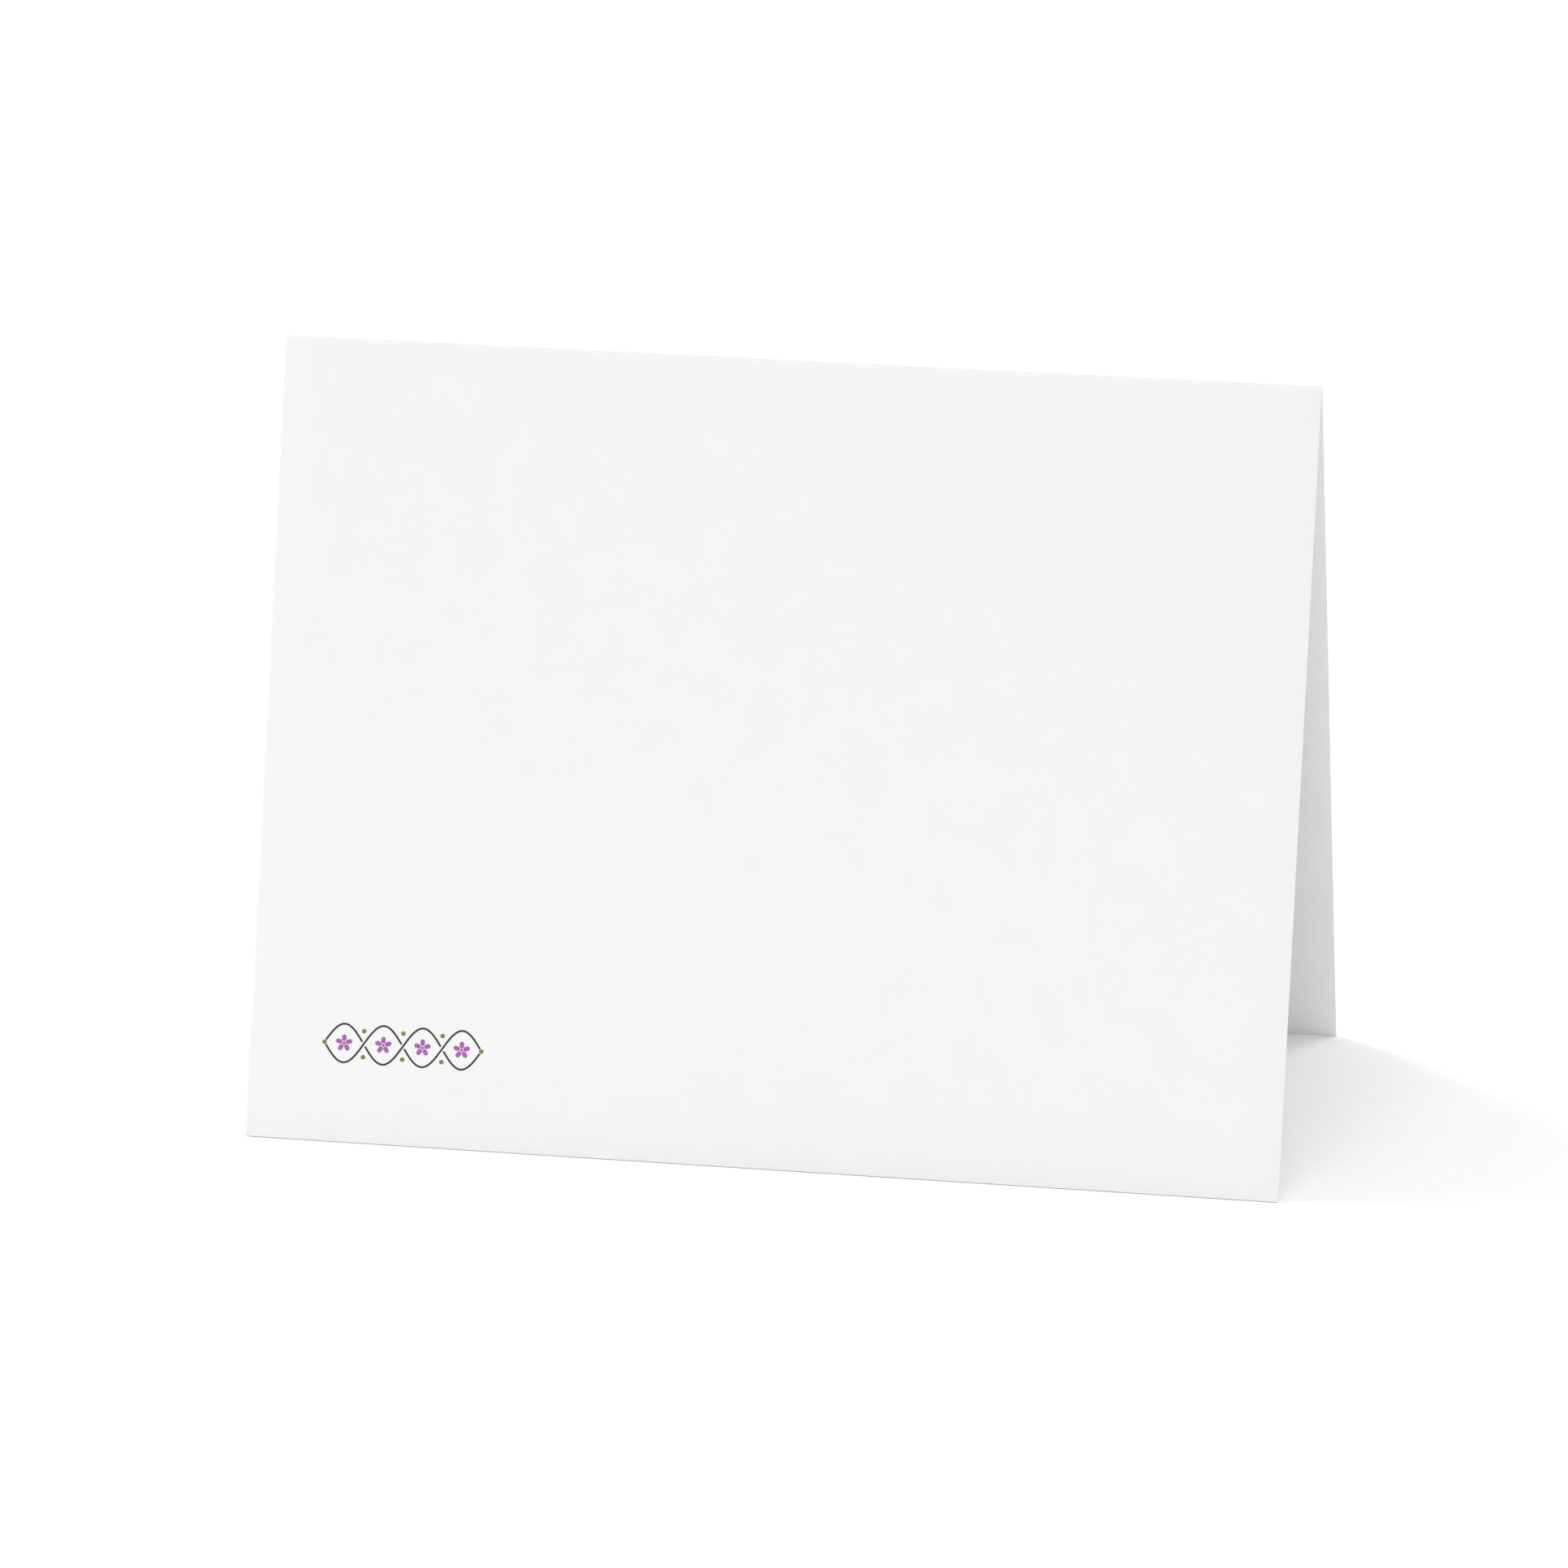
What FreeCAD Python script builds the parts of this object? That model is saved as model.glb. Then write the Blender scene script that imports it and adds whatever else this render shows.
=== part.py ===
import FreeCAD, Part
import math
import os

# A blank greeting card: one sheet of card stock, scored and folded once across its middle, standing
# open like a tent. The two leaves hang from the fold and lean apart, and the card stands on the inner
# corners of its two cut foot edges.
#
# Millimetres. X runs along the fold, Y runs from the near leaf (the back of the card, at -Y) to the far
# leaf (its front cover, at +Y), and Z is up. The origin is on the table, in the middle of the footprint.

# The sheet, flat, as it leaves the guillotine: half of a letter page, cut square
SHEET_WIDTH = 139.7
SHEET_LENGTH = 215.9
STOCK_THICKNESS = 0.35

# How far each leaf leans from the vertical when the card stands open, in degrees
LEAF_LEAN = 17.2

# The hinge of stock between the leaves turns around this radius
FOLD_INNER_RADIUS = 0.12

# The score: the blunt rule presses a shallow channel into the outside of the fold. Down each leaf from
# the fold's axis come the channel's level floor and then the ramp up to the leaf's face.
SCORE_DEPTH = 0.06
SCORE_FLOOR = 0.12
SCORE_RAMP = 0.22

# The stock that the rule pushes through stands up as a round bead along the inside of the fold
BEAD_HEIGHT = 0.16

lean = math.radians(LEAF_LEAN)
fold_turn = math.pi - 2 * lean
fold_outer_radius = FOLD_INNER_RADIUS + STOCK_THICKNESS
crown_radius = fold_outer_radius - SCORE_DEPTH
bead_radius = FOLD_INNER_RADIUS + BEAD_HEIGHT

# The fold takes up the length of its neutral line, and the two leaves share the rest of the sheet
neutral_radius = FOLD_INNER_RADIUS + STOCK_THICKNESS / 2
leaf_run = (SHEET_LENGTH - neutral_radius * fold_turn) / 2

# The fold's axis is as high as puts the inner corner of each foot edge on the table
fold_height = leaf_run * math.cos(lean) - FOLD_INNER_RADIUS * math.sin(lean)

NEAR, FAR = -1, 1


def on_leaf(run, offset, side):
    """A point of the section: run down one leaf from the fold's axis, and offset outwards from it."""
    y = side * (offset * math.cos(lean) + run * math.sin(lean))
    z = fold_height + offset * math.sin(lean) - run * math.cos(lean)
    return FreeCAD.Vector(0, y, z)


def under_fold(radius):
    """The point of the section that is straight under the fold's axis, at radius from it."""
    return FreeCAD.Vector(0, 0, fold_height - radius)


def outer_line(side):
    """The outside of one leaf in section, from its foot up over the score's ramp to the fold."""
    return [
        on_leaf(leaf_run, fold_outer_radius, side),
        on_leaf(SCORE_FLOOR + SCORE_RAMP, fold_outer_radius, side),
        on_leaf(SCORE_FLOOR, crown_radius, side),
        on_leaf(0, crown_radius, side),
    ]


def inner_line(side):
    """The inside of one leaf in section, from its foot up to where it meets the bead."""
    bead_reach = math.sqrt(bead_radius ** 2 - FOLD_INNER_RADIUS ** 2)
    return [
        on_leaf(leaf_run, FOLD_INNER_RADIUS, side),
        on_leaf(bead_reach, FOLD_INNER_RADIUS, side),
    ]


def straight_edges(points):
    """One straight edge from each point to the next."""
    return [Part.makeLine(start, end) for start, end in zip(points, points[1:])]


def arc_edge(start, middle, end):
    """One round edge through three points."""
    return Part.Arc(start, middle, end).toShape()


def section():
    """The closed outline of the folded stock, seen along the fold, from the near foot round and back."""
    near_outside, far_outside = outer_line(NEAR), outer_line(FAR)
    near_inside, far_inside = inner_line(NEAR), inner_line(FAR)
    edges = straight_edges(near_outside)
    edges.append(arc_edge(near_outside[-1], under_fold(-crown_radius), far_outside[-1]))
    edges += straight_edges(far_outside[::-1] + far_inside)
    edges.append(arc_edge(far_inside[-1], under_fold(bead_radius), near_inside[-1]))
    edges += straight_edges(near_inside[::-1] + near_outside[:1])
    return Part.Wire(edges)


def folded_card():
    """The whole card: the section drawn out along the fold, to the sheet's full width."""
    card = Part.Face(section()).extrude(FreeCAD.Vector(SHEET_WIDTH, 0, 0))
    card.translate(FreeCAD.Vector(-SHEET_WIDTH / 2, 0, 0))
    return card


def main():
    os.makedirs("parts", exist_ok=True)
    card = folded_card()
    card.exportStep("parts/folded_card.step")
    box = card.BoundBox
    flat_volume = SHEET_WIDTH * SHEET_LENGTH * STOCK_THICKNESS
    print(f"valid {card.isValid()}, solids {len(card.Solids)}, faces {len(card.Faces)}")
    print(f"size {box.XLength:.2f} x {box.YLength:.2f} x {box.ZLength:.2f} mm, lowest {box.ZMin:.4f} mm")
    print(f"volume {card.Volume:.1f} mm3, and of the flat sheet {flat_volume:.1f} mm3")
    print(f"leaf {leaf_run:.2f} mm long, fold axis {fold_height:.2f} mm high")


main()
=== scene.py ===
# %% [markdown]
# The object is a greeting card: one sheet of white card stock, scored across its middle, folded
# once and stood up like a tent. The frame holds it as one plain solid at its real size. This lesson
# gives that solid the looks of real card: a rounded fold, eased cut edges, three paper finishes and
# a small print. The card could be drawn again by hand, but loading the frame keeps every size true,
# so what follows is worked out from its box and a few sizes of the stock. The box is kept, to
# compare with the finished card at the end.

# %% Load the frame
import bmesh
import bpy
import math
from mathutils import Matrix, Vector


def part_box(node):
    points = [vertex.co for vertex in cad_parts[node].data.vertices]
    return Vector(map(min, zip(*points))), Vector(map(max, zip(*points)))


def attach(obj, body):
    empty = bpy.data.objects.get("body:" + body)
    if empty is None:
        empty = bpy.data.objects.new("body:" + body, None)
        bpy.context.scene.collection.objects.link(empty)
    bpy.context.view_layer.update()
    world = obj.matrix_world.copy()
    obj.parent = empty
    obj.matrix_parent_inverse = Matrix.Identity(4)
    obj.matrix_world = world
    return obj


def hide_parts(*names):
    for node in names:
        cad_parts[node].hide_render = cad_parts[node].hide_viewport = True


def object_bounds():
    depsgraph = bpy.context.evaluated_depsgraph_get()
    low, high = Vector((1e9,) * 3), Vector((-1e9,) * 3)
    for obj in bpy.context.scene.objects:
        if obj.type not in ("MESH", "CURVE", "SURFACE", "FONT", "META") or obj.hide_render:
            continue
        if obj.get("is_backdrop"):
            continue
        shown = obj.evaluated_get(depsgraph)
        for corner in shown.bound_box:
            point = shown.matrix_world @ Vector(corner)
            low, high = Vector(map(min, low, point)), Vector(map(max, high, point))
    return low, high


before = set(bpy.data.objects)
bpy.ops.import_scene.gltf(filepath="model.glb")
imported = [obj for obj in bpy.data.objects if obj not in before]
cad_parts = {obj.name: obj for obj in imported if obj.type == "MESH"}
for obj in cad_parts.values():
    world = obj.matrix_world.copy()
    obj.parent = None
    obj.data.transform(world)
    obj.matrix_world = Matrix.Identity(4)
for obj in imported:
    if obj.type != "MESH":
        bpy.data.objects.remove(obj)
solid_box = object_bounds()
MM = 0.001
print("the solid card, in mm:", [round((b - a) / MM, 2) for a, b in zip(*solid_box)])

# %% [markdown]
# A product photograph of something small is taken from a distance with a long lens, so that
# parallel edges stay nearly parallel. A short lens close by could frame the card as well, but its
# far edges would shrink. The camera is placed by two angles and a distance from a target near the
# middle of the card, which is easier to think about than three coordinates and three rotations.

# %% Place the camera
CAMERA_AZIMUTH = math.radians(10.1)
CAMERA_ELEVATION = math.radians(18.8)
CAMERA_DISTANCE = 1246.4 * MM
CAMERA_TARGET = Vector((-2.1, 0, 43.3)) * MM
LENS_LENGTH = 212
SENSOR_WIDTH = 36


def direction(azimuth, elevation):
    """The unit vector from the card at these angles; azimuth 0 is straight in front."""
    level = math.cos(elevation)
    return Vector((math.sin(azimuth) * level, -math.cos(azimuth) * level, math.sin(elevation)))


def aim(thing, target, azimuth, elevation, distance):
    """Puts a camera or a lamp in the scene at these angles from the target, pointing at it."""
    back = direction(azimuth, elevation)
    thing.location = target + back * distance
    thing.rotation_euler = (-back).to_track_quat("-Z", "Y").to_euler()
    bpy.context.scene.collection.objects.link(thing)


camera_data = bpy.data.cameras.new("camera")
camera_data.lens = LENS_LENGTH
camera_data.sensor_width = SENSOR_WIDTH
camera = bpy.data.objects.new("camera", camera_data)
aim(camera, CAMERA_TARGET, CAMERA_AZIMUTH, CAMERA_ELEVATION, CAMERA_DISTANCE)
bpy.context.scene.camera = camera
bpy.context.scene.view_settings.view_transform = "Standard"
print("camera at, in mm:", [round(value / MM) for value in camera.location])

# %% [markdown]
# The card stands on a white sweep. A huge floor would turn grey far from the lamps and show a
# horizon from low down, so it is a round sheet that ends where the lamps still keep it white. Its
# paper is a little darker than pure white, as any real white is, and that is the white that it
# throws back onto the card. The camera sees it as pure white instead, by way of Light Path's Is
# Camera Ray, so that the background comes out white without more light on the card, and the card's
# shadow still shows.

# %% Lay the floor
FLOOR_RADIUS = 0.8
FLOOR_CORNERS = 128
FLOOR_BOUNCE = (0.95, 0.95, 0.95, 1)
PURE_WHITE = (1, 1, 1, 1)


def add_node(tree, kind, sockets=(), **options):
    """A new node with its options and then its sockets set."""
    node = tree.nodes.new(kind)
    for option, value in options.items():
        setattr(node, option, value)
    for socket, value in dict(sockets).items():
        node.inputs[socket].default_value = value
    return node


def floor_material():
    """A matt white that bounces a real white's light and shows the camera a pure one."""
    material = bpy.data.materials.new("white_sweep")
    material.use_nodes = True
    tree = material.node_tree
    tree.nodes.clear()
    ray = add_node(tree, "ShaderNodeLightPath")
    white = add_node(tree, "ShaderNodeMix", data_type="RGBA")
    white.inputs["A"].default_value = FLOOR_BOUNCE
    white.inputs["B"].default_value = PURE_WHITE
    matt = add_node(tree, "ShaderNodeBsdfDiffuse")
    output = add_node(tree, "ShaderNodeOutputMaterial")
    tree.links.new(ray.outputs["Is Camera Ray"], white.inputs["Factor"])
    tree.links.new(white.outputs["Result"], matt.inputs["Color"])
    tree.links.new(matt.outputs["BSDF"], output.inputs["Surface"])
    return material


bpy.ops.mesh.primitive_circle_add(
    vertices=FLOOR_CORNERS, radius=FLOOR_RADIUS, fill_type="NGON"
)
floor = bpy.context.object
floor.name = "floor"
floor.data.materials.append(floor_material())
floor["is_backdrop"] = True
print("floor radius, in m:", FLOOR_RADIUS)

# %% [markdown]
# More than half of the light comes from all round, as in a white tent: an even white world does
# that. An image of a studio would light the card too, but it would bring its own lamps, which can't
# be moved. What the camera sees past the floor's edge, and what a gloss mirrors, is pure white.

# %% Light the room from all round
ROOM_STRENGTH = 0.755
SEEN_STRENGTH = 1


def room():
    """A white world of ROOM_STRENGTH that looks pure white to the camera and in reflections."""
    world = bpy.data.worlds.new("room")
    world.use_nodes = True
    tree = world.node_tree
    background = tree.nodes["Background"]
    background.inputs["Color"].default_value = PURE_WHITE
    ray = add_node(tree, "ShaderNodeLightPath")
    seen = add_node(tree, "ShaderNodeMath", operation="MAXIMUM")
    seen_or_glossy = add_node(tree, "ShaderNodeMath", operation="MAXIMUM")
    strengths = {"A": ROOM_STRENGTH, "B": SEEN_STRENGTH}
    strength = add_node(tree, "ShaderNodeMix", strengths, data_type="FLOAT")
    tree.links.new(ray.outputs["Is Camera Ray"], seen.inputs[0])
    tree.links.new(ray.outputs["Is Transmission Ray"], seen.inputs[1])
    tree.links.new(seen.outputs["Value"], seen_or_glossy.inputs[0])
    tree.links.new(ray.outputs["Is Glossy Ray"], seen_or_glossy.inputs[1])
    tree.links.new(seen_or_glossy.outputs["Value"], strength.inputs["Factor"])
    tree.links.new(strength.outputs["Result"], background.inputs["Strength"])
    return world


bpy.context.scene.world = room()
print("room strength:", ROOM_STRENGTH)

# %% [markdown]
# Three soft lamps do the rest, as in a small studio. One on the left, a little behind the card,
# casts the pale wedge of shadow that spreads from the open end across the floor. One behind on the
# right reaches in at that end and leaves the dark line where the far leaf meets the floor. A large
# one in front lights the near leaf evenly. Sun lamps would give shadows of one softness all along,
# while an area lamp gives one that is crisp where the card touches the floor and melts away from
# it. Each lamp's power is worked out from the light that it should add to a level white floor. On
# the leaves the light adds up to a little more than 1, at which a colour renders as it is written.
# The fold's crown faces up and gets about 1.25, so it shows as a pure white line.

# %% Hang the soft lamps
LAMP_DISTANCE = 1.5
SOFT_LAMPS = {
    # name: (azimuth and elevation in degrees, width in metres, light added to a level white floor)
    "left_lamp": (-108, 46, 0.6, 0.235),
    "back_lamp": (120, 54, 0.6, 0.15),
    "front_lamp": (-5, 45, 1.0, 0.125),
}


def hang_lamp(name, azimuth, elevation, width, share):
    """A round soft lamp that points at the card and adds share to the light on the floor."""
    azimuth, elevation = math.radians(azimuth), math.radians(elevation)
    data = bpy.data.lights.new(name, "AREA")
    data.shape = "DISK"
    data.size = width
    data.energy = share * math.pi**2 * LAMP_DISTANCE**2 / math.sin(elevation)
    lamp = bpy.data.objects.new(name, data)
    aim(lamp, CAMERA_TARGET, azimuth, elevation, LAMP_DISTANCE)
    print(name, "power, in W:", round(data.energy, 2))


for name, numbers in SOFT_LAMPS.items():
    hang_lamp(name, *numbers)

# %% [markdown]
# The sheet is 0.35 mm thick, a 300 gram card. When it was scored, a blunt rule pressed a shallow
# channel into the outside of the fold and pushed a rounded bead up on the inside, and the fold
# turns around that bead. These few sizes and the box of the frame's solid give all the others:
# where the fold's axis is, how long each leaf is, and how far apart the feet stand. The last print
# shows that they agree with the solid.

# %% Size the sheet
STOCK = 0.35 * MM
LEAF_LEAN = math.radians(17.2)
FOLD_INNER_RADIUS = 0.12 * MM
SCORE_DEPTH = 0.06 * MM
SCORE_FLOOR = 0.12 * MM
SCORE_RAMP = 0.22 * MM
BEAD_HEIGHT = 0.16 * MM
NEAR, FAR = -1, 1

card_low, card_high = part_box("folded_card")
fold_outer_radius = FOLD_INNER_RADIUS + STOCK
crown_radius = fold_outer_radius - SCORE_DEPTH
bead_radius = FOLD_INNER_RADIUS + BEAD_HEIGHT
bead_reach = math.sqrt(bead_radius**2 - FOLD_INNER_RADIUS**2)
fold_height = card_high.z - crown_radius
leaf_run = (fold_height + FOLD_INNER_RADIUS * math.sin(LEAF_LEAN)) / math.cos(LEAF_LEAN)


def on_leaf(run, offset, side):
    """(y, z) of a point run down one leaf from the fold's axis, and offset outwards from it."""
    y = side * (offset * math.cos(LEAF_LEAN) + run * math.sin(LEAF_LEAN))
    z = fold_height + offset * math.sin(LEAF_LEAN) - run * math.cos(LEAF_LEAN)
    return y, z


foot_y = on_leaf(leaf_run, fold_outer_radius, FAR)[0]
print("leaf run, in mm:", round(leaf_run / MM, 3))
print("foot to axis, in mm:", round(foot_y / MM, 3), "in the solid:", round(card_high.y / MM, 3))

# %% [markdown]
# Seen along the fold, the card is a long thin outline. It is drawn as pairs of points, one on the
# outside of the stock and one straight through it on the inside, from the near foot up over the
# fold and down to the far foot. A solid tool would take the outline alone, but pairs let the mesh
# be made of neat quads, which bend and shade evenly. The pairs are far apart on the flat leaves and
# close together in the fold.

# %% Draw the section in pairs
LEAF_STEPS = 24
FOLD_STEPS = 14
NEAR_FOLD_RUNS = (5 * MM, 2 * MM, 0.9 * MM, 0.5 * MM)


def through_leaf(outer_run, outer_offset, inner_run, side):
    """A pair on one leaf: a point of its outside and one of its inside."""
    return on_leaf(outer_run, outer_offset, side), on_leaf(inner_run, FOLD_INNER_RADIUS, side)


def leaf_pairs(side):
    """The pairs of one leaf, from its foot to where the score's channel is level."""
    step = (leaf_run - NEAR_FOLD_RUNS[0]) / LEAF_STEPS
    ramp_top = SCORE_FLOOR + SCORE_RAMP
    runs = [leaf_run - step * i for i in range(LEAF_STEPS)] + [*NEAR_FOLD_RUNS, ramp_top]
    pairs = [through_leaf(run, fold_outer_radius, run, side) for run in runs]
    beside_bead = (ramp_top + bead_reach) / 2
    pairs.append(through_leaf(SCORE_FLOOR, crown_radius, beside_bead, side))
    return pairs


def on_fold(radius, angle, up):
    """(y, z) of a point of the fold, at an angle from straight over or under its axis."""
    return radius * math.sin(angle), fold_height + up * radius * math.cos(angle)


def fold_pairs():
    """The pairs of the fold: the crown goes over the axis, and the bead under it."""
    crown_turn = math.pi / 2 - LEAF_LEAN
    bead_turn = LEAF_LEAN + math.atan2(FOLD_INNER_RADIUS, bead_reach)
    shares = [2 * i / FOLD_STEPS - 1 for i in range(FOLD_STEPS + 1)]
    return [
        (on_fold(crown_radius, share * crown_turn, 1), on_fold(bead_radius, share * bead_turn, -1))
        for share in shares
    ]


section = leaf_pairs(NEAR) + fold_pairs() + leaf_pairs(FAR)[::-1]
print("pairs in the section:", len(section))

# %% [markdown]
# Drawn out along X, the pairs become two skins, the outside and the inside of the sheet. Extruding
# the section would do as well, but laying the skins row by row also lets each point remember its
# place in the flat sheet: across it, along it, and through its thickness. The paper finishes read
# that place, so fibres run on over the fold as they do in a sheet that was made flat.

# %% Lay the two skins
CROSS_STEPS = 28
PLACE = "sheet_place"


def sheet_rows(mesh):
    """Two grids of vertices, outside and inside, with a row across the sheet for every pair."""
    place = mesh.verts.layers.float_vector.new(PLACE)
    width = card_high.x - card_low.x
    columns = [card_low.x + width * i / CROSS_STEPS for i in range(CROSS_STEPS + 1)]
    grids = [], []
    along = 0
    for i, pair in enumerate(section):
        if i > 0:
            along += math.dist(section[i - 1][0], pair[0])
        for grid, (y, z), depth in zip(grids, pair, (0, STOCK)):
            row = [mesh.verts.new((x, y, z)) for x in columns]
            for vertex in row:
                vertex[place] = (vertex.co.x, along, depth)
            grid.append(row)
    return grids


sheet = bmesh.new()
outside, inside = sheet_rows(sheet)
print("rows on each skin:", len(outside), "points in a row:", len(outside[0]))

# %% [markdown]
# The four cut edges close the gap between the skins. A solidify modifier could thicken one skin
# instead, but two skins keep the channel outside and the bead inside, which differ. A blade leaves
# no perfect corner, so all the cut edges are eased by three hundredths of a millimetre, which
# catches a thin line of light.

# %% Close the sheet
OUTSIDE, INSIDE, CUT_EDGE = 0, 1, 2
EDGE_EASE = 0.03 * MM
EASE_SEGMENTS = 2
ROUND_PROFILE = 0.5


def quads_between(mesh, first_row, second_row, finish):
    """A strip of quads from one row of vertices to the next, wearing one finish."""
    for a, b, c, d in zip(first_row, first_row[1:], second_row[1:], second_row):
        mesh.faces.new((a, b, c, d)).material_index = finish


def close_sheet(mesh):
    """Fills both skins and the four cut edges with quads, and eases the corners between them."""
    for grid, finish in ((outside, OUTSIDE), (inside, INSIDE)):
        for first_row, second_row in zip(grid, grid[1:]):
            quads_between(mesh, first_row, second_row, finish)
    for end in (0, -1):
        sides = [[row[end] for row in grid] for grid in (outside, inside)]
        quads_between(mesh, outside[end], inside[end], CUT_EDGE)
        quads_between(mesh, *sides, CUT_EDGE)
    bmesh.ops.recalc_face_normals(mesh, faces=mesh.faces)
    rims = [edge for edge in mesh.edges if len({f.material_index for f in edge.link_faces}) > 1]
    bmesh.ops.bevel(
        mesh,
        geom=rims,
        offset=EDGE_EASE,
        segments=EASE_SEGMENTS,
        profile=ROUND_PROFILE,
        affect="EDGES",
    )


close_sheet(sheet)
print("faces of the sheet:", len(sheet.faces))

# %% [markdown]
# The closed sheet becomes an object of the scene and takes the place of the frame's plain solid.
# Flat shading would show every step of the fold, and fully smooth shading would make the crisp cut
# corners look inflated. So the sheet is shaded smooth, but an edge where two faces meet at thirty
# degrees or more stays sharp. The inks become objects in the same way later on.

# %% Put the sheet in the scene
SMOOTH_BELOW = math.radians(30)


def object_from(mesh, name):
    """A scene object from a finished bmesh, smooth where its faces meet at a small angle."""
    data = bpy.data.meshes.new(name)
    mesh.to_mesh(data)
    mesh.free()
    data.shade_smooth()
    data.set_sharp_from_angle(angle=SMOOTH_BELOW)
    made = bpy.data.objects.new(name, data)
    bpy.context.scene.collection.objects.link(made)
    return made


card = object_from(sheet, "card_sheet")
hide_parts("folded_card")
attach(card, "root")
print("made", card.name)

# %% [markdown]
# The three finishes of the card are built of the same few steps: values are added and stretched, a
# height pushes the surface in and out, and a value mixes two shades. Each could be wired by hand in
# every material, but as small functions they are wired once and read like a recipe later on. What
# is the same all over a surface is set on its shader's own sockets.

# %% Steps for the finishes
FULL_RANGE = (0, 1)


def add_up(tree, first, second, share=1.0):
    """The first value plus a share of the second."""
    total = add_node(tree, "ShaderNodeMath", {1: share}, operation="MULTIPLY_ADD")
    tree.links.new(second, total.inputs[0])
    tree.links.new(first, total.inputs[2])
    return total.outputs["Value"]


def remap(tree, value, before, after=FULL_RANGE):
    """The value stretched from the range before to the range after, and kept inside it."""
    ends = dict(zip(("From Min", "From Max", "To Min", "To Max"), (*before, *after)))
    mapped = add_node(tree, "ShaderNodeMapRange", ends)
    tree.links.new(value, mapped.inputs["Value"])
    return mapped.outputs["Result"]


def new_material(name, colour, roughness, specular):
    """A material with one principled shader, its even values set on the shader's own sockets."""
    material = bpy.data.materials.new(name)
    material.use_nodes = True
    shader = material.node_tree.nodes["Principled BSDF"]
    shader.inputs["Base Color"].default_value = (*colour, 1)
    shader.inputs["Roughness"].default_value = roughness
    shader.inputs["Specular IOR Level"].default_value = specular
    return material, material.node_tree, shader


def set_bump(tree, shader, height, depth):
    """Pushes the surface in and out by up to depth, where height goes from 0 to 1."""
    bump = add_node(tree, "ShaderNodeBump", {"Strength": 1.0, "Distance": depth})
    tree.links.new(height, bump.inputs["Height"])
    tree.links.new(bump.outputs["Normal"], shader.inputs["Normal"])


def set_mottle(tree, shader, value, dark, light):
    """Colours the surface from dark to light by the value, which goes from 0 to 1."""
    shade = add_node(tree, "ShaderNodeMix", data_type="RGBA")
    shade.inputs["A"].default_value = (*dark, 1)
    shade.inputs["B"].default_value = (*light, 1)
    tree.links.new(value, shade.inputs["Factor"])
    tree.links.new(shade.outputs["Result"], shader.inputs["Base Color"])


print("a value is stretched, unless told otherwise, to:", FULL_RANGE)

# %% [markdown]
# Paper isn't even. Held close, it has a tooth, the small hills that the felt of the paper machine
# leaves, and single fibres that lie in every direction. A photograph of paper could be wrapped on
# it, but noise textures never repeat and need no image. One noise makes the tooth. Others, each
# stretched along another direction, make the fibres. No bump that they drive is deeper than two
# hundredths of a millimetre.

# %% Paper tooth and fibres
TOOTH_WIDTH = 0.55 * MM
FIBRE_LENGTH = 2.2 * MM
FIBRE_WIDTH = 0.16 * MM
FIBRE_TURNS = (-52, 8, 71)
FIBRE_GREYS = (0.58, 0.72)
NOISE_ROUGHNESS = 0.5
SMOOTH_DETAIL, PLAIN_DETAIL, FINE_DETAIL, FINEST_DETAIL = 0, 2, 3, 4


def sheet_place(tree):
    """Where a point was in the flat sheet, in metres."""
    return add_node(tree, "ShaderNodeAttribute", attribute_name=PLACE).outputs["Vector"]


def noise(tree, place, width, detail=PLAIN_DETAIL):
    """Grey noise whose hills are about width across."""
    settings = {"Scale": 1 / width, "Detail": detail, "Roughness": NOISE_ROUGHNESS}
    texture = add_node(tree, "ShaderNodeTexNoise", settings)
    tree.links.new(place, texture.inputs["Vector"])
    return texture.outputs["Fac"]


def fibres(tree, place):
    """Thin ridges in three directions, from 0 between them to 1 on them."""
    total = None
    squash = FIBRE_WIDTH / FIBRE_LENGTH
    for turn in FIBRE_TURNS:
        stretch = {"Rotation": (0, 0, math.radians(turn)), "Scale": (squash, 1, 1)}
        turned = add_node(tree, "ShaderNodeMapping", stretch)
        tree.links.new(place, turned.inputs["Vector"])
        hills = noise(tree, turned.outputs["Vector"], FIBRE_WIDTH, SMOOTH_DETAIL)
        ridge = remap(tree, hills, FIBRE_GREYS)
        total = ridge if total is None else add_up(tree, total, ridge)
    return total


print("fibres, in mm:", FIBRE_LENGTH / MM, "by", FIBRE_WIDTH / MM)

# %% [markdown]
# The outside of the card is coated: a thin layer of clay fills the tooth, so the surface is smooth
# and even, with a dull sheen. One flat white could stand for it, but even coated card is faintly
# cloudy, because fibres lie thicker in some spots than in others. Two whites that differ by less
# than a hundredth are mixed by a broad noise, and what is left of the tooth is a bump of four
# thousandths of a millimetre.

# %% Coated outside
COATED_LIGHT = (0.882, 0.882, 0.882)
COATED_DARK = (0.874, 0.874, 0.874)
COATED_ROUGHNESS = 0.6
COATED_SPECULAR = 0.25
COATED_SHEEN = (0.55, 0.68)
COATED_BUMP = 0.004 * MM
CLOUD_WIDTH = 7 * MM
MIDDLE_GREYS = (0.3, 0.7)


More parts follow.
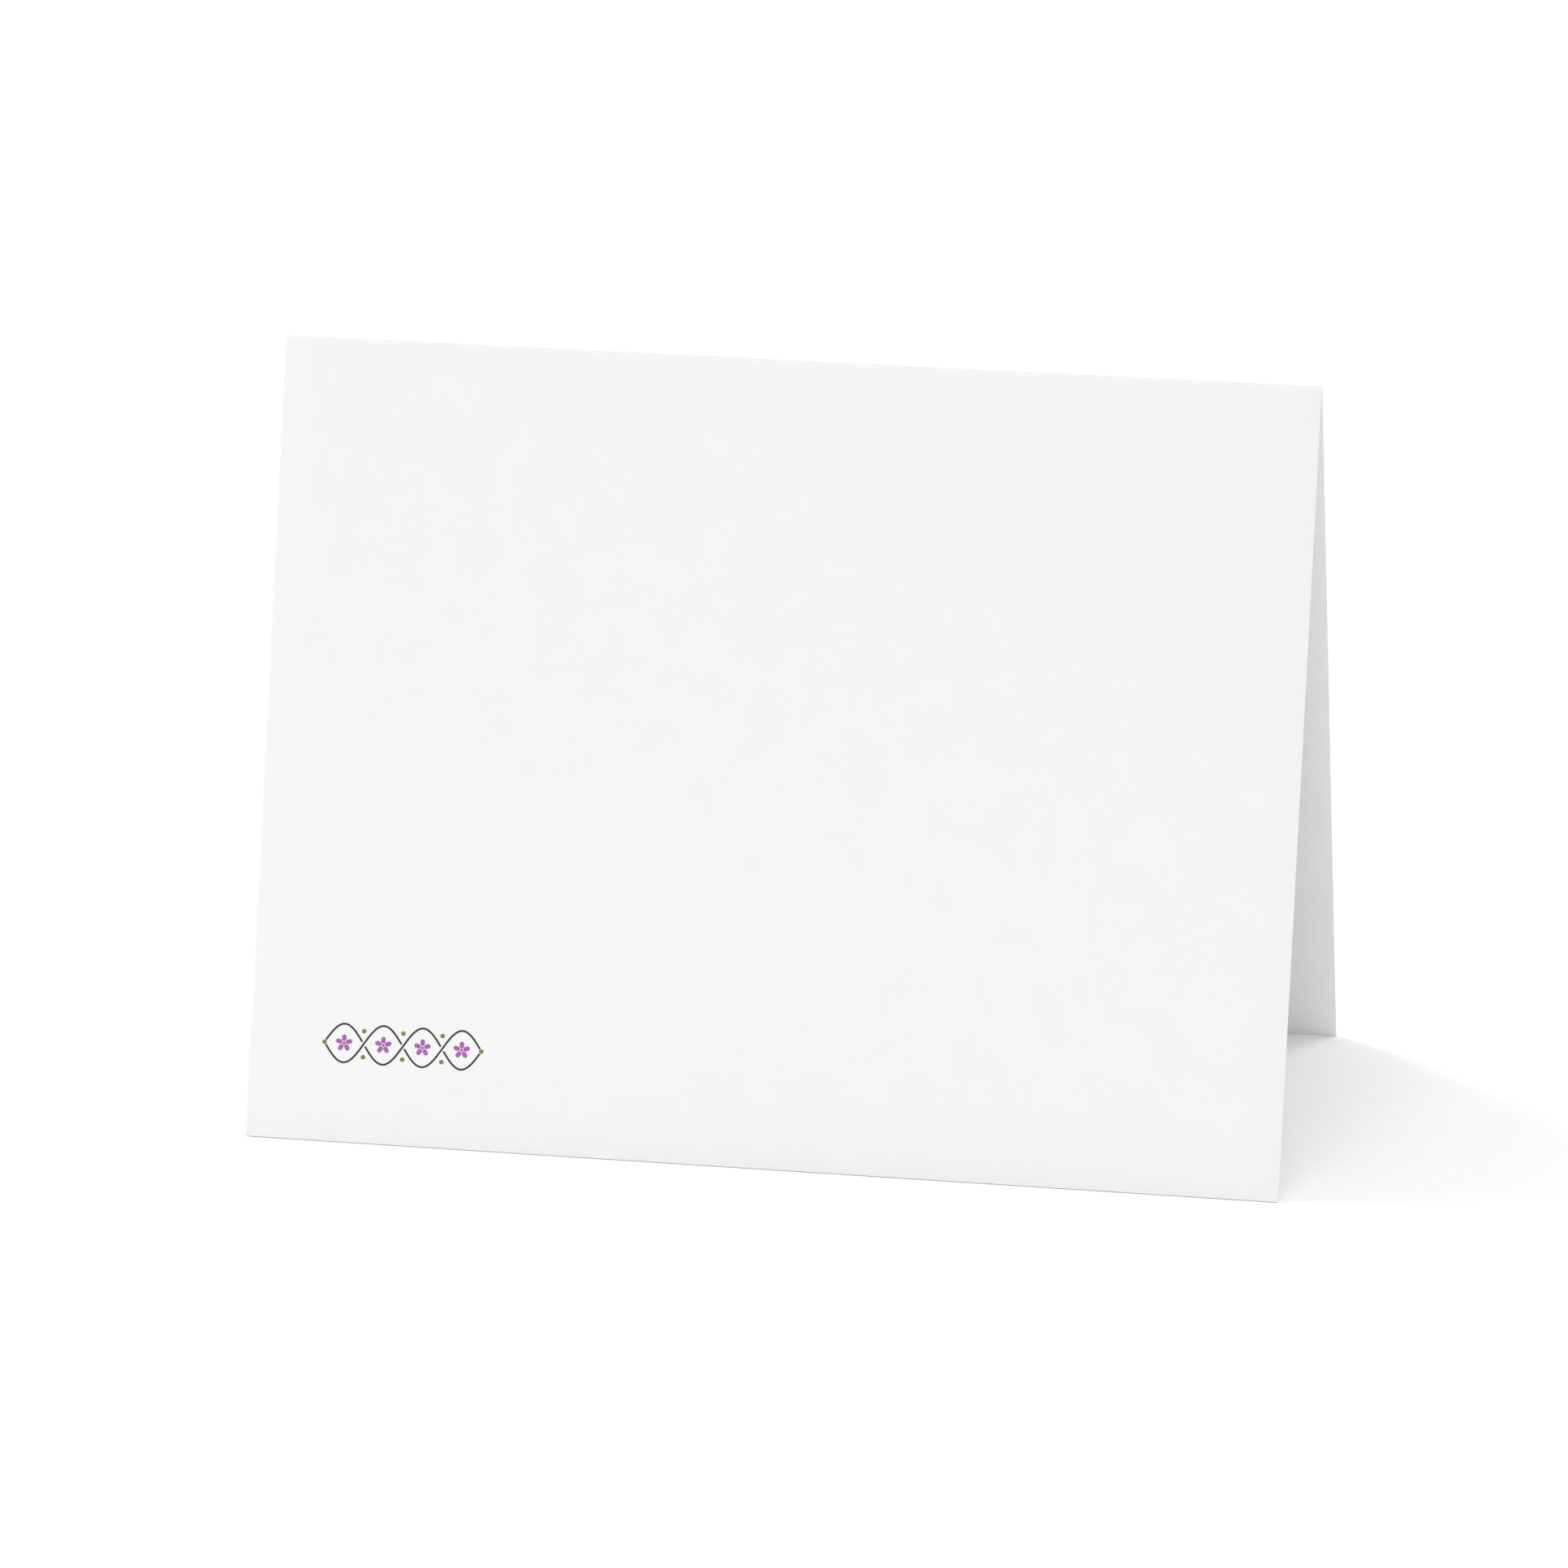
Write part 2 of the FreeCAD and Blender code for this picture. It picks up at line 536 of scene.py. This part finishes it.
def coated_finish():
    """The smooth, faintly cloudy white of the card's outside."""
    material, tree, shader = new_material(
        "coated_outside", COATED_LIGHT, COATED_ROUGHNESS, COATED_SPECULAR
    )
    place = sheet_place(tree)
    clouds = remap(tree, noise(tree, place, CLOUD_WIDTH, FINE_DETAIL), MIDDLE_GREYS)
    set_mottle(tree, shader, clouds, COATED_DARK, COATED_LIGHT)
    tooth = noise(tree, place, TOOTH_WIDTH, FINE_DETAIL)
    sheen = remap(tree, tooth, MIDDLE_GREYS, COATED_SHEEN)
    tree.links.new(sheen, shader.inputs["Roughness"])
    set_bump(tree, shader, tooth, COATED_BUMP)
    return material


coated = coated_finish()
print("made", coated.name)

# %% [markdown]
# The inside is left uncoated, so that a pen writes on it. Its tooth is open and its fibres show,
# and it has hardly any sheen. It could wear the outside's finish, since the photograph shows little
# of it, but a card that is opened shows the difference. The same tooth is used as outside, deeper
# and finer, and the fibres come up a shade lighter.
# Its two whites are also a little lighter than the outside's. This is painted light that lifts the
# shade inside the tent.

# %% Uncoated inside, lifted by painted light
# The inside's whites are lighter than the outside's: painted light that lifts the shade inside the
# tent.
UNCOATED_LIGHT_PAINTED_LIFT = (0.924, 0.924, 0.924)
UNCOATED_DARK_PAINTED_LIFT = (0.908, 0.908, 0.908)
UNCOATED_ROUGHNESS = 0.92
UNCOATED_SPECULAR = 0.15
UNCOATED_BUMP = 0.009 * MM
FIBRE_SHARE = 0.35
OPEN_GREYS = (0.3, 0.9)


def uncoated_finish_painted_lift():
    """The open, fibrous white of the card's inside, set lighter as painted light that lifts its
    shade.
    """
    material, tree, shader = new_material(
        "uncoated_inside_painted_lift", UNCOATED_LIGHT_PAINTED_LIFT, UNCOATED_ROUGHNESS, UNCOATED_SPECULAR
    )
    place = sheet_place(tree)
    strands = fibres(tree, place)
    tooth = noise(tree, place, TOOTH_WIDTH, FINEST_DETAIL)
    surface = add_up(tree, tooth, strands, FIBRE_SHARE)
    set_mottle(tree, shader, remap(tree, surface, OPEN_GREYS), UNCOATED_DARK_PAINTED_LIFT, UNCOATED_LIGHT_PAINTED_LIFT)
    set_bump(tree, shader, surface, UNCOATED_BUMP)
    return material


uncoated_painted_lift = uncoated_finish_painted_lift()
print("made", uncoated_painted_lift.name)

# %% [markdown]
# A guillotine shears the stack of sheets, and the cut shows the stock end on: fibres lie flat in
# the sheet, so the cut has fine lines along it. It could be left as it is, since it is a third of a
# millimetre wide, but it is the thin line that tells the eye that the card has a thickness. Noise
# that is stretched along both directions of the sheet, and fine through its depth, makes the lines.

# %% Cut edges
CUT_LIGHT = (0.87, 0.87, 0.87)
CUT_DARK = (0.72, 0.72, 0.72)
CUT_ROUGHNESS = 0.95
CUT_SPECULAR = 0.1
CUT_BUMP = 0.015 * MM
LAYER_DEPTH = 0.045 * MM
LAYER_LENGTH = 1.1 * MM


def cut_finish():
    """The layered, slightly rough white of a sheared edge."""
    material, tree, shader = new_material("cut_edge", CUT_LIGHT, CUT_ROUGHNESS, CUT_SPECULAR)
    squash = LAYER_DEPTH / LAYER_LENGTH
    layered = add_node(tree, "ShaderNodeMapping", {"Scale": (squash, squash, 1)})
    tree.links.new(sheet_place(tree), layered.inputs["Vector"])
    layers = noise(tree, layered.outputs["Vector"], LAYER_DEPTH)
    set_mottle(tree, shader, remap(tree, layers, MIDDLE_GREYS), CUT_DARK, CUT_LIGHT)
    set_bump(tree, shader, layers, CUT_BUMP)
    return material


for finish in (coated, uncoated_painted_lift, cut_finish()):
    card.data.materials.append(finish)
print("finishes on the sheet:", [slot.name for slot in card.material_slots])

# %% [markdown]
# A small ornament is printed low on the left of the near leaf: a plaited band of two dark lines
# with coloured dots. It could be painted by a texture, but a texture blurs when the card is seen
# close. Here it is a film of ink, as screen printing lays down, two hundredths of a millimetre
# thick. Every mark of it is a stroke of a round-ended pen, so one function makes lines and dots
# alike: it walks along the middle of the stroke and puts a point on each side, closer together in
# the round ends.

# %% A pen for the near leaf
INK_FILM = 0.02 * MM
INK_SOAK = 0.01 * MM
PRINT_MIDDLE = Vector((20.9, 13.3)) * MM
END_STEPS = 8
ONLY_INK = 0


def on_print(point, lift):
    """A point of the print, from its middle, as a place on the near leaf lifted off its face."""
    across, up = point + PRINT_MIDDLE
    y, z = on_leaf(leaf_run - up, fold_outer_radius + lift, NEAR)
    return card_low.x + across, y, z


def stroke_sides(line, half_width):
    """The left and right sides of a stroke along a line of points, with round ends."""
    first, last = (line[1] - line[0]).normalized(), (line[-1] - line[-2]).normalized()
    angles = [math.pi / 2 * i / END_STEPS for i in range(END_STEPS)]
    middle = []
    for a in angles:
        start = line[0] - first * half_width * math.cos(a)
        middle.append((start, first, half_width * math.sin(a)))
    for i, point in enumerate(line):
        ahead = (line[min(i + 1, len(line) - 1)] - line[max(i - 1, 0)]).normalized()
        middle.append((point, ahead, half_width))
    for a in angles[::-1]:
        end = line[-1] + last * half_width * math.cos(a)
        middle.append((end, last, half_width * math.sin(a)))
    left = [point + ahead.orthogonal() * width for point, ahead, width in middle]
    right = [point - ahead.orthogonal() * width for point, ahead, width in middle]
    return left, right


def add_stroke(mesh, line, half_width):
    """A closed film of ink along a line, from a little inside the stock to just proud of it."""
    left, right = stroke_sides(line, half_width)
    around = (left, INK_FILM), (right, INK_FILM), (right, -INK_SOAK), (left, -INK_SOAK)
    rails = [[mesh.verts.new(on_print(point, lift)) for point in side] for side, lift in around]
    for rail, next_rail in zip(rails, rails[1:] + rails[:1]):
        quads_between(mesh, rail, next_rail, ONLY_INK)


print("middle of the print, from the leaf's lower left corner, in mm:", list(PRINT_MIDDLE / MM))

# %% [markdown]
# Each colour of a print is one pass of the press, so all the strokes of one colour are one piece.
# They could be single objects, but one piece for each ink is simpler to dress and to move. Points
# that fall together at the tips of the round ends are welded, so that every stroke is closed.

# %% From strokes to a printed piece
WELD_DISTANCE = 0.0005 * MM
NUDGES_PER_RADIUS = 20


def ink_object(name, strokes):
    """One printed piece, made of strokes, each given as its line and its half width."""
    mesh = bmesh.new()
    for line, half_width in strokes:
        add_stroke(mesh, line, half_width)
    bmesh.ops.remove_doubles(mesh, verts=mesh.verts, dist=WELD_DISTANCE)
    bmesh.ops.recalc_face_normals(mesh, faces=mesh.faces)
    piece = object_from(mesh, name)
    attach(piece, "root")
    print(name, "has", len(strokes), "strokes and", len(piece.data.polygons), "faces")
    return piece


def dots(places, radius):
    """Round dots, as strokes that hardly move."""
    nudge = Vector((radius / NUDGES_PER_RADIUS, 0))
    return [([place - nudge, place + nudge], radius) for place in places]


print("ink film, in mm:", INK_FILM / MM)

# %% [markdown]
# The band is plaited from two waves that mirror each other. Where they cross, one passes over and
# the other stops short on both sides, and they take turns, which is all that the eye needs to see a
# plait. Two whole waves on top of each other would be simpler, but then neither passes over, and
# their meshes would cut through each other. Each wave is therefore cut into strokes, between the
# crossings where it dives.

# %% The plaited band
BAND_LENGTH = 21.5 * MM
BAND_EYES = 4
WAVE_HEIGHT = 2.6 * MM
LINE_HALF_WIDTH = 0.13 * MM
DIVE_GAP = 0.26 * MM
POINTS_PER_EYE = 20

eye_length = BAND_LENGTH / BAND_EYES


def wave(across, side):
    """A point of one of the two mirrored waves, from the middle of the band."""
    height = side * WAVE_HEIGHT * math.sin(math.pi * across / eye_length)
    return Vector((across - BAND_LENGTH / 2, height))


def wave_line(start, end, side):
    """The points of one wave between two places along the band."""
    steps = round(POINTS_PER_EYE * (end - start) / eye_length)
    return [wave(start + (end - start) * i / steps, side) for i in range(steps + 1)]


def plait():
    """The strokes of both waves: each dives at every second crossing, and both at the tips."""
    strokes = []
    for side, first_dive in ((1, 1), (-1, 2)):
        dives = [0, *range(first_dive, BAND_EYES, 2), BAND_EYES]
        for start, end in zip(dives, dives[1:]):
            line = wave_line(start * eye_length + DIVE_GAP, end * eye_length - DIVE_GAP, side)
            strokes.append((line, LINE_HALF_WIDTH))
    return strokes


band = ink_object("plaited_band", plait())

# %% [markdown]
# Each eye of the plait holds a rosette of five violet petals round a green dot, and more green dots
# sit beside the crossings and at the band's two tips. Rings or small flowers from a font would do,
# but petals are only short fat strokes of the same pen. The strokes of one colour never meet those
# of another, so no ink lies on top of a second one.

# %% Rosettes and dots
PETAL_COUNT = 5
FIRST_PETAL_TURN = 1 / 4
PETAL_START = 0.56 * MM
PETAL_END = 0.86 * MM
PETAL_HALF_WIDTH = 0.3 * MM
ROSETTE_DOT_RADIUS = 0.19 * MM
SIDE_DOT_RADIUS = 0.3 * MM
SIDE_DOT_UP = 1.75 * MM
PETAL_ANGLES = [math.tau * (i / PETAL_COUNT + FIRST_PETAL_TURN) for i in range(PETAL_COUNT)]


def petal(middle, angle):
    """One petal of a rosette, a fat short stroke that points away from the rosette's middle."""
    away = Vector((math.cos(angle), math.sin(angle)))
    return [middle + away * PETAL_START, middle + away * PETAL_END], PETAL_HALF_WIDTH


eyes = [Vector(((i + 0.5) * eye_length - BAND_LENGTH / 2, 0)) for i in range(BAND_EYES)]
crossings = [i * eye_length - BAND_LENGTH / 2 for i in range(1, BAND_EYES)]
beside = [Vector((across, side * SIDE_DOT_UP)) for across in crossings for side in (-1, 1)]
tips = [Vector((side * BAND_LENGTH / 2, 0)) for side in (-1, 1)]
petal_strokes = [petal(eye, angle) for eye in eyes for angle in PETAL_ANGLES]
dot_strokes = dots(beside + tips, SIDE_DOT_RADIUS) + dots(eyes, ROSETTE_DOT_RADIUS)
petals = ink_object("petals", petal_strokes)
green_dots = ink_object("green_dots", dot_strokes)

# %% [markdown]
# Printing ink on coated card is a little shinier than the card, and it covers it with tiny thin
# spots where the tooth was high. A flat colour would look like plastic film, so each ink is mixed
# from a full and a thin shade of itself by a fine noise, with the same noise in its roughness.

# %% The inks
INK_ROUGHNESS = 0.5
INK_SPECULAR = 0.35
INK_SHEEN = (0.45, 0.65)
THIN_SPOT_WIDTH = 0.12 * MM
THIN_SPOT_GREYS = (0.4, 0.75)
INKS = {
    # name: (the piece that wears it, its full shade, its thin shade)
    "charcoal_ink": (band, (0.028, 0.028, 0.031), (0.05, 0.05, 0.054)),
    "orchid_ink": (petals, (0.36, 0.09, 0.42), (0.44, 0.15, 0.49)),
    "moss_ink": (green_dots, (0.18, 0.2, 0.035), (0.25, 0.27, 0.07)),
}


def ink_finish(name, full, thin):
    """A covering ink with a faint mottle and a dull sheen."""
    material, tree, shader = new_material(name, full, INK_ROUGHNESS, INK_SPECULAR)
    place = add_node(tree, "ShaderNodeTexCoord").outputs["Object"]
    spots = remap(tree, noise(tree, place, THIN_SPOT_WIDTH), THIN_SPOT_GREYS)
    set_mottle(tree, shader, spots, full, thin)
    tree.links.new(remap(tree, spots, FULL_RANGE, INK_SHEEN), shader.inputs["Roughness"])
    return material


for name, (piece, full, thin) in INKS.items():
    piece.data.materials.append(ink_finish(name, full, thin))
print("inks:", list(INKS))

# %% [markdown]
# The finished card must fill the same box as the solid that it stands for.

# %% Compare the boxes and finish
dressed_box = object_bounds()
boxes = {
    "solid": [list(corner) for corner in solid_box],
    "dressed": [list(corner) for corner in dressed_box],
}
for name, (low_corner, high_corner) in boxes.items():
    sides = [round((b - a) / MM, 3) for a, b in zip(low_corner, high_corner)]
    print(name, "box, in mm:", sides)
